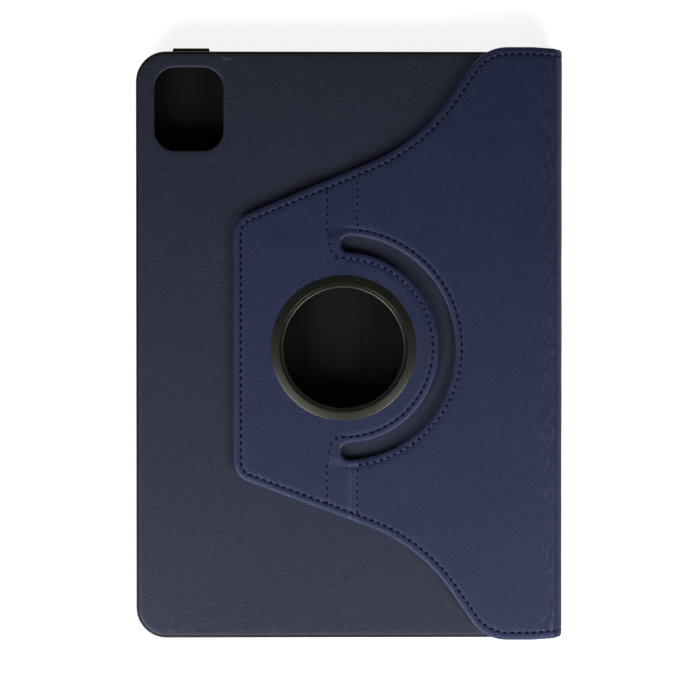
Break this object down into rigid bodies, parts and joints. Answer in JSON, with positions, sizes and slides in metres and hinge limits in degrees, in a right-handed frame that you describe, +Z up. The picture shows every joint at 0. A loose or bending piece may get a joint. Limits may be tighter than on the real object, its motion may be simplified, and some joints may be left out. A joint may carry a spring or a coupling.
{
  "type": "rotating tablet folio case",
  "caption": "Leather-faced folio case with a tray that turns on a round hub in the back flap, a soft spine and a C-shaped slot for folding the flap into a stand.",
  "frame": {"origin": "middle of the case's footprint, on the surface that the front cover lies on", "axes": "+X towards the spine, +Y towards the top edge of the tablet, +Z up out of the back flap"},
  "size_m": [0.1838, 0.2552, 0.0174],
  "materials": {
    "navy_leather": "embossed navy synthetic leather, low sheen",
    "back_leather": "embossed dark blue-grey synthetic leather, low sheen",
    "microfibre": "short-napped black microfibre",
    "stiff_board": "compressed grey board",
    "magnet_steel": "nickel-plated magnets",
    "black_shell": "moulded satin black plastic",
    "gloss_ring": "polished black plastic",
    "rivet_steel": "plain steel"
  },
  "bodies": {
    "front_cover": {"cover_skin": "navy_leather", "cover_board": "stiff_board", "cover_lining": "microfibre", "stand_rib_1": "microfibre", "stand_rib_2": "microfibre", "sleep_magnets": "magnet_steel"},
    "spine": {"spine_skin": "navy_leather", "spine_lining": "microfibre", "cover_crease": "navy_leather", "flap_crease": "navy_leather"},
    "back_flap": {"flap_skin": "navy_leather", "flap_board": "stiff_board", "hub_board": "stiff_board", "flap_lining": "microfibre", "hub_bezel": "gloss_ring", "hub_retainer": "black_shell"},
    "tray": {"tray_shell": "black_shell", "tray_back_skin": "back_leather", "tray_lining": "microfibre", "hub_rotor": "gloss_ring", "hub_rivets": "rivet_steel", "slip_washer": "black_shell"},
    "power_button": {"power_button": "black_shell"},
    "volume_up": {"volume_up": "black_shell"},
    "volume_down": {"volume_down": "black_shell"}
  },
  "joints": [
    {"name": "cover_hinge", "type": "hinge", "parent": "front_cover", "child": "spine", "pos_m": [0.09093, 0, 0.00097], "axis": [0, 1, 0], "range_deg": [0, 90], "deforming": ["cover_crease", "spine_lining"]},
    {"name": "spine_hinge", "type": "hinge", "parent": "spine", "child": "back_flap", "pos_m": [0.09093, 0, 0.01536], "axis": [0, 1, 0], "range_deg": [0, 90], "deforming": ["flap_crease", "spine_skin"]},
    {"name": "tray_turn", "type": "hinge", "parent": "back_flap", "child": "tray", "pos_m": [-0.0027, -0.0017, 0.01632], "axis": [0, 0, 1], "continuous": true},
    {"name": "power_press", "type": "slide", "parent": "tray", "child": "power_button", "axis": [0, -1, 0], "range_m": [0, 0.0005], "stiffness_N_per_m": 3000},
    {"name": "volume_up_press", "type": "slide", "parent": "tray", "child": "volume_up", "axis": [1, 0, 0], "range_m": [0, 0.0004], "stiffness_N_per_m": 3000},
    {"name": "volume_down_press", "type": "slide", "parent": "tray", "child": "volume_down", "axis": [1, 0, 0], "range_m": [0, 0.0004], "stiffness_N_per_m": 3000}
  ]
}
